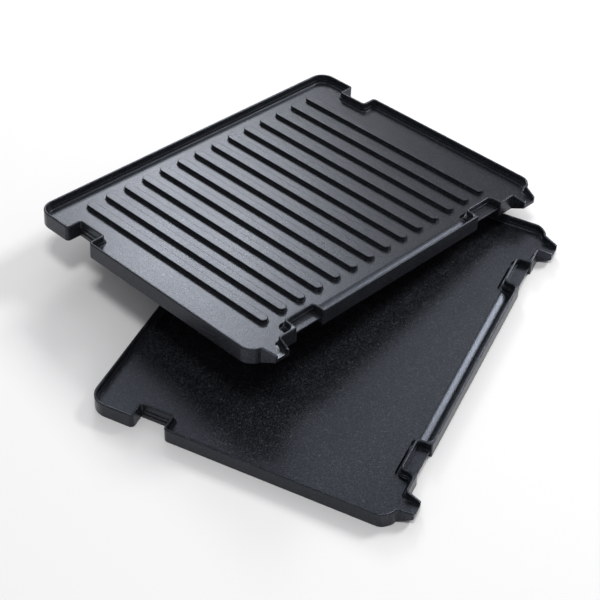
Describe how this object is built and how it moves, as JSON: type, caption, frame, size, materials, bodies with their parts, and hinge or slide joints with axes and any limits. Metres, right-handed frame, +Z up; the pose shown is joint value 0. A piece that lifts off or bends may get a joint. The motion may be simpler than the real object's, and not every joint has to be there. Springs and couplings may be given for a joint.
{
  "type": "contact grill cooking plates",
  "caption": "Pair of removable non-stick contact-grill plates: a ribbed grill plate leaning over a flat griddle, each with rim, drain spouts, latch recesses and side notches.",
  "frame": {"origin": "on the ground, under the middle of the two plates' common box", "axes": "+X along the griddle's long edges, -Y towards its spouts and latch recesses, +Z up"},
  "size_m": [0.3796, 0.327, 0.0609],
  "materials": {
    "griddle_coat": "die-cast aluminium under a satin near-black non-stick coat with a fine pale fleck",
    "grill_coat": "die-cast aluminium under a satin near-black non-stick coat with a fine pale fleck"
  },
  "bodies": {
    "griddle": {"flat_griddle_plate": "griddle_coat"},
    "grill": {"ribbed_grill_plate": "grill_coat"}
  },
  "joints": [
    {"name": "grill_plate_lift", "type": "slide", "parent": "griddle", "child": "grill", "axis": [0, 0, 1], "range_m": [0, 0.12]}
  ]
}
